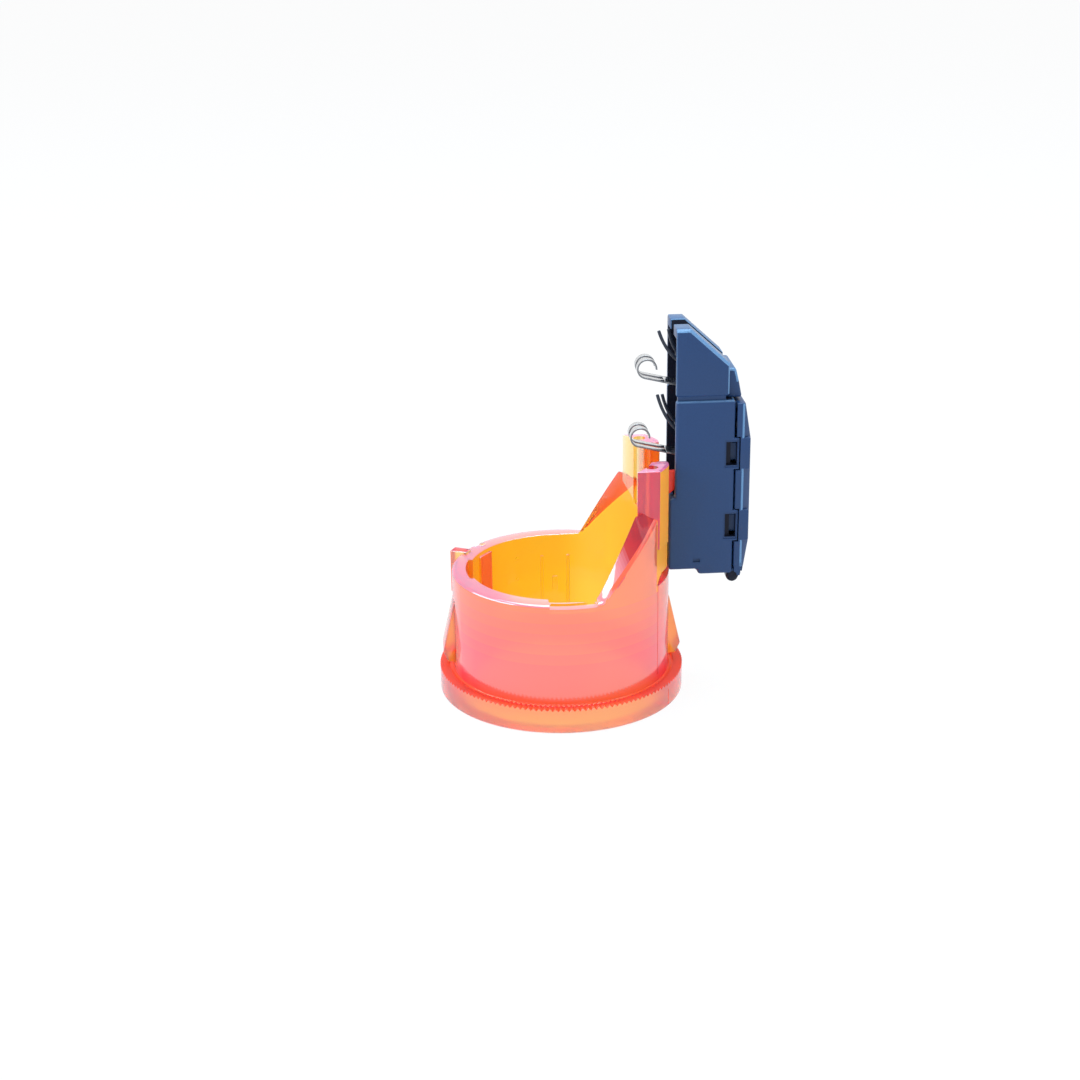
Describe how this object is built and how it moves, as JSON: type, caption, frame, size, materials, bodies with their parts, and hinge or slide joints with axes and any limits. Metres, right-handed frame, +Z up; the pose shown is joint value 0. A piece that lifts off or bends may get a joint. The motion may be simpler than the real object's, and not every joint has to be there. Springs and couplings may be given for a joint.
{
  "type": "snap-in light ring with contact module",
  "caption": "Clear amber snap-in ring with a toothed flange and screw posts, carrying a clip-on black module with sprung contacts, a lamp and a hinged rear cover.",
  "frame": {"origin": "middle of the whole part's footprint box, on the surface that the flange stands on; the ring's axis is 3.9 mm towards -X", "axes": "+Z up along the ring's axis, +X from the ring towards the contact module, +Y across the module's width"},
  "size_m": [0.0388, 0.031, 0.0471],
  "materials": {
    "amber_plastic": "clear moulded, polished",
    "black_plastic": "fine satin moulding",
    "spring_steel": "bright rolled strip",
    "plated_steel": "tin plated",
    "brass": "stamped",
    "clear_resin": "cast clear",
    "board": "lacquered laminate",
    "chip": "ceramic chip"
  },
  "bodies": {
    "ring": {"light_ring": "amber_plastic", "module_housing": "black_plastic", "hinge_pin": "plated_steel", "contact_carrier": "black_plastic", "upper_terminal": "brass", "lower_terminal": "brass", "upper_terminal_rivet": "plated_steel", "lower_terminal_rivet": "plated_steel", "lamp_body": "clear_resin", "lamp_board": "board", "lamp_resistor": "chip", "near_lamp_lead": "plated_steel", "far_lamp_lead": "plated_steel", "near_lamp_link": "plated_steel", "far_lamp_link": "plated_steel"},
    "cover": {"terminal_cover": "black_plastic"},
    "upper_contact": {"upper_contact_spring": "spring_steel"},
    "lower_contact": {"lower_contact_spring": "spring_steel"},
    "upper_fork": {"upper_guide_fork": "black_plastic"},
    "lower_fork": {"lower_guide_fork": "black_plastic"},
    "left_tongue": {"left_snap_tongue": "amber_plastic"},
    "right_tongue": {"right_snap_tongue": "amber_plastic"}
  },
  "joints": [
    {"name": "cover_hinge", "type": "hinge", "parent": "ring", "child": "cover", "pos_m": [0.0174, 0, 0.01555], "axis": [0, 1, 0], "range_deg": [0, 100]},
    {"name": "upper_contact_flex", "type": "hinge", "parent": "ring", "child": "upper_contact", "pos_m": [0.01135, 0, 0.03932], "axis": [0, 1, 0], "range_deg": [0, 20], "stiffness_Nm_per_rad": 0.02},
    {"name": "lower_contact_flex", "type": "hinge", "parent": "ring", "child": "lower_contact", "pos_m": [0.01135, 0, 0.03045], "axis": [0, 1, 0], "range_deg": [0, 20], "stiffness_Nm_per_rad": 0.02},
    {"name": "upper_fork_flex", "type": "hinge", "parent": "ring", "child": "upper_fork", "pos_m": [0.01135, 0, 0.04237], "axis": [0, 1, 0], "range_deg": [0, 8], "stiffness_Nm_per_rad": 0.005},
    {"name": "lower_fork_flex", "type": "hinge", "parent": "ring", "child": "lower_fork", "pos_m": [0.01135, 0, 0.0335], "axis": [0, 1, 0], "range_deg": [0, 12], "stiffness_Nm_per_rad": 0.005},
    {"name": "left_tongue_flex", "type": "hinge", "parent": "ring", "child": "left_tongue", "pos_m": [-0.0169, 0, 0.0117], "axis": [0, -1, 0], "range_deg": [0, 10], "stiffness_Nm_per_rad": 0.05},
    {"name": "right_tongue_flex", "type": "hinge", "parent": "ring", "child": "right_tongue", "pos_m": [0.0091, 0, 0.0117], "axis": [0, 1, 0], "range_deg": [0, 10], "stiffness_Nm_per_rad": 0.05}
  ]
}
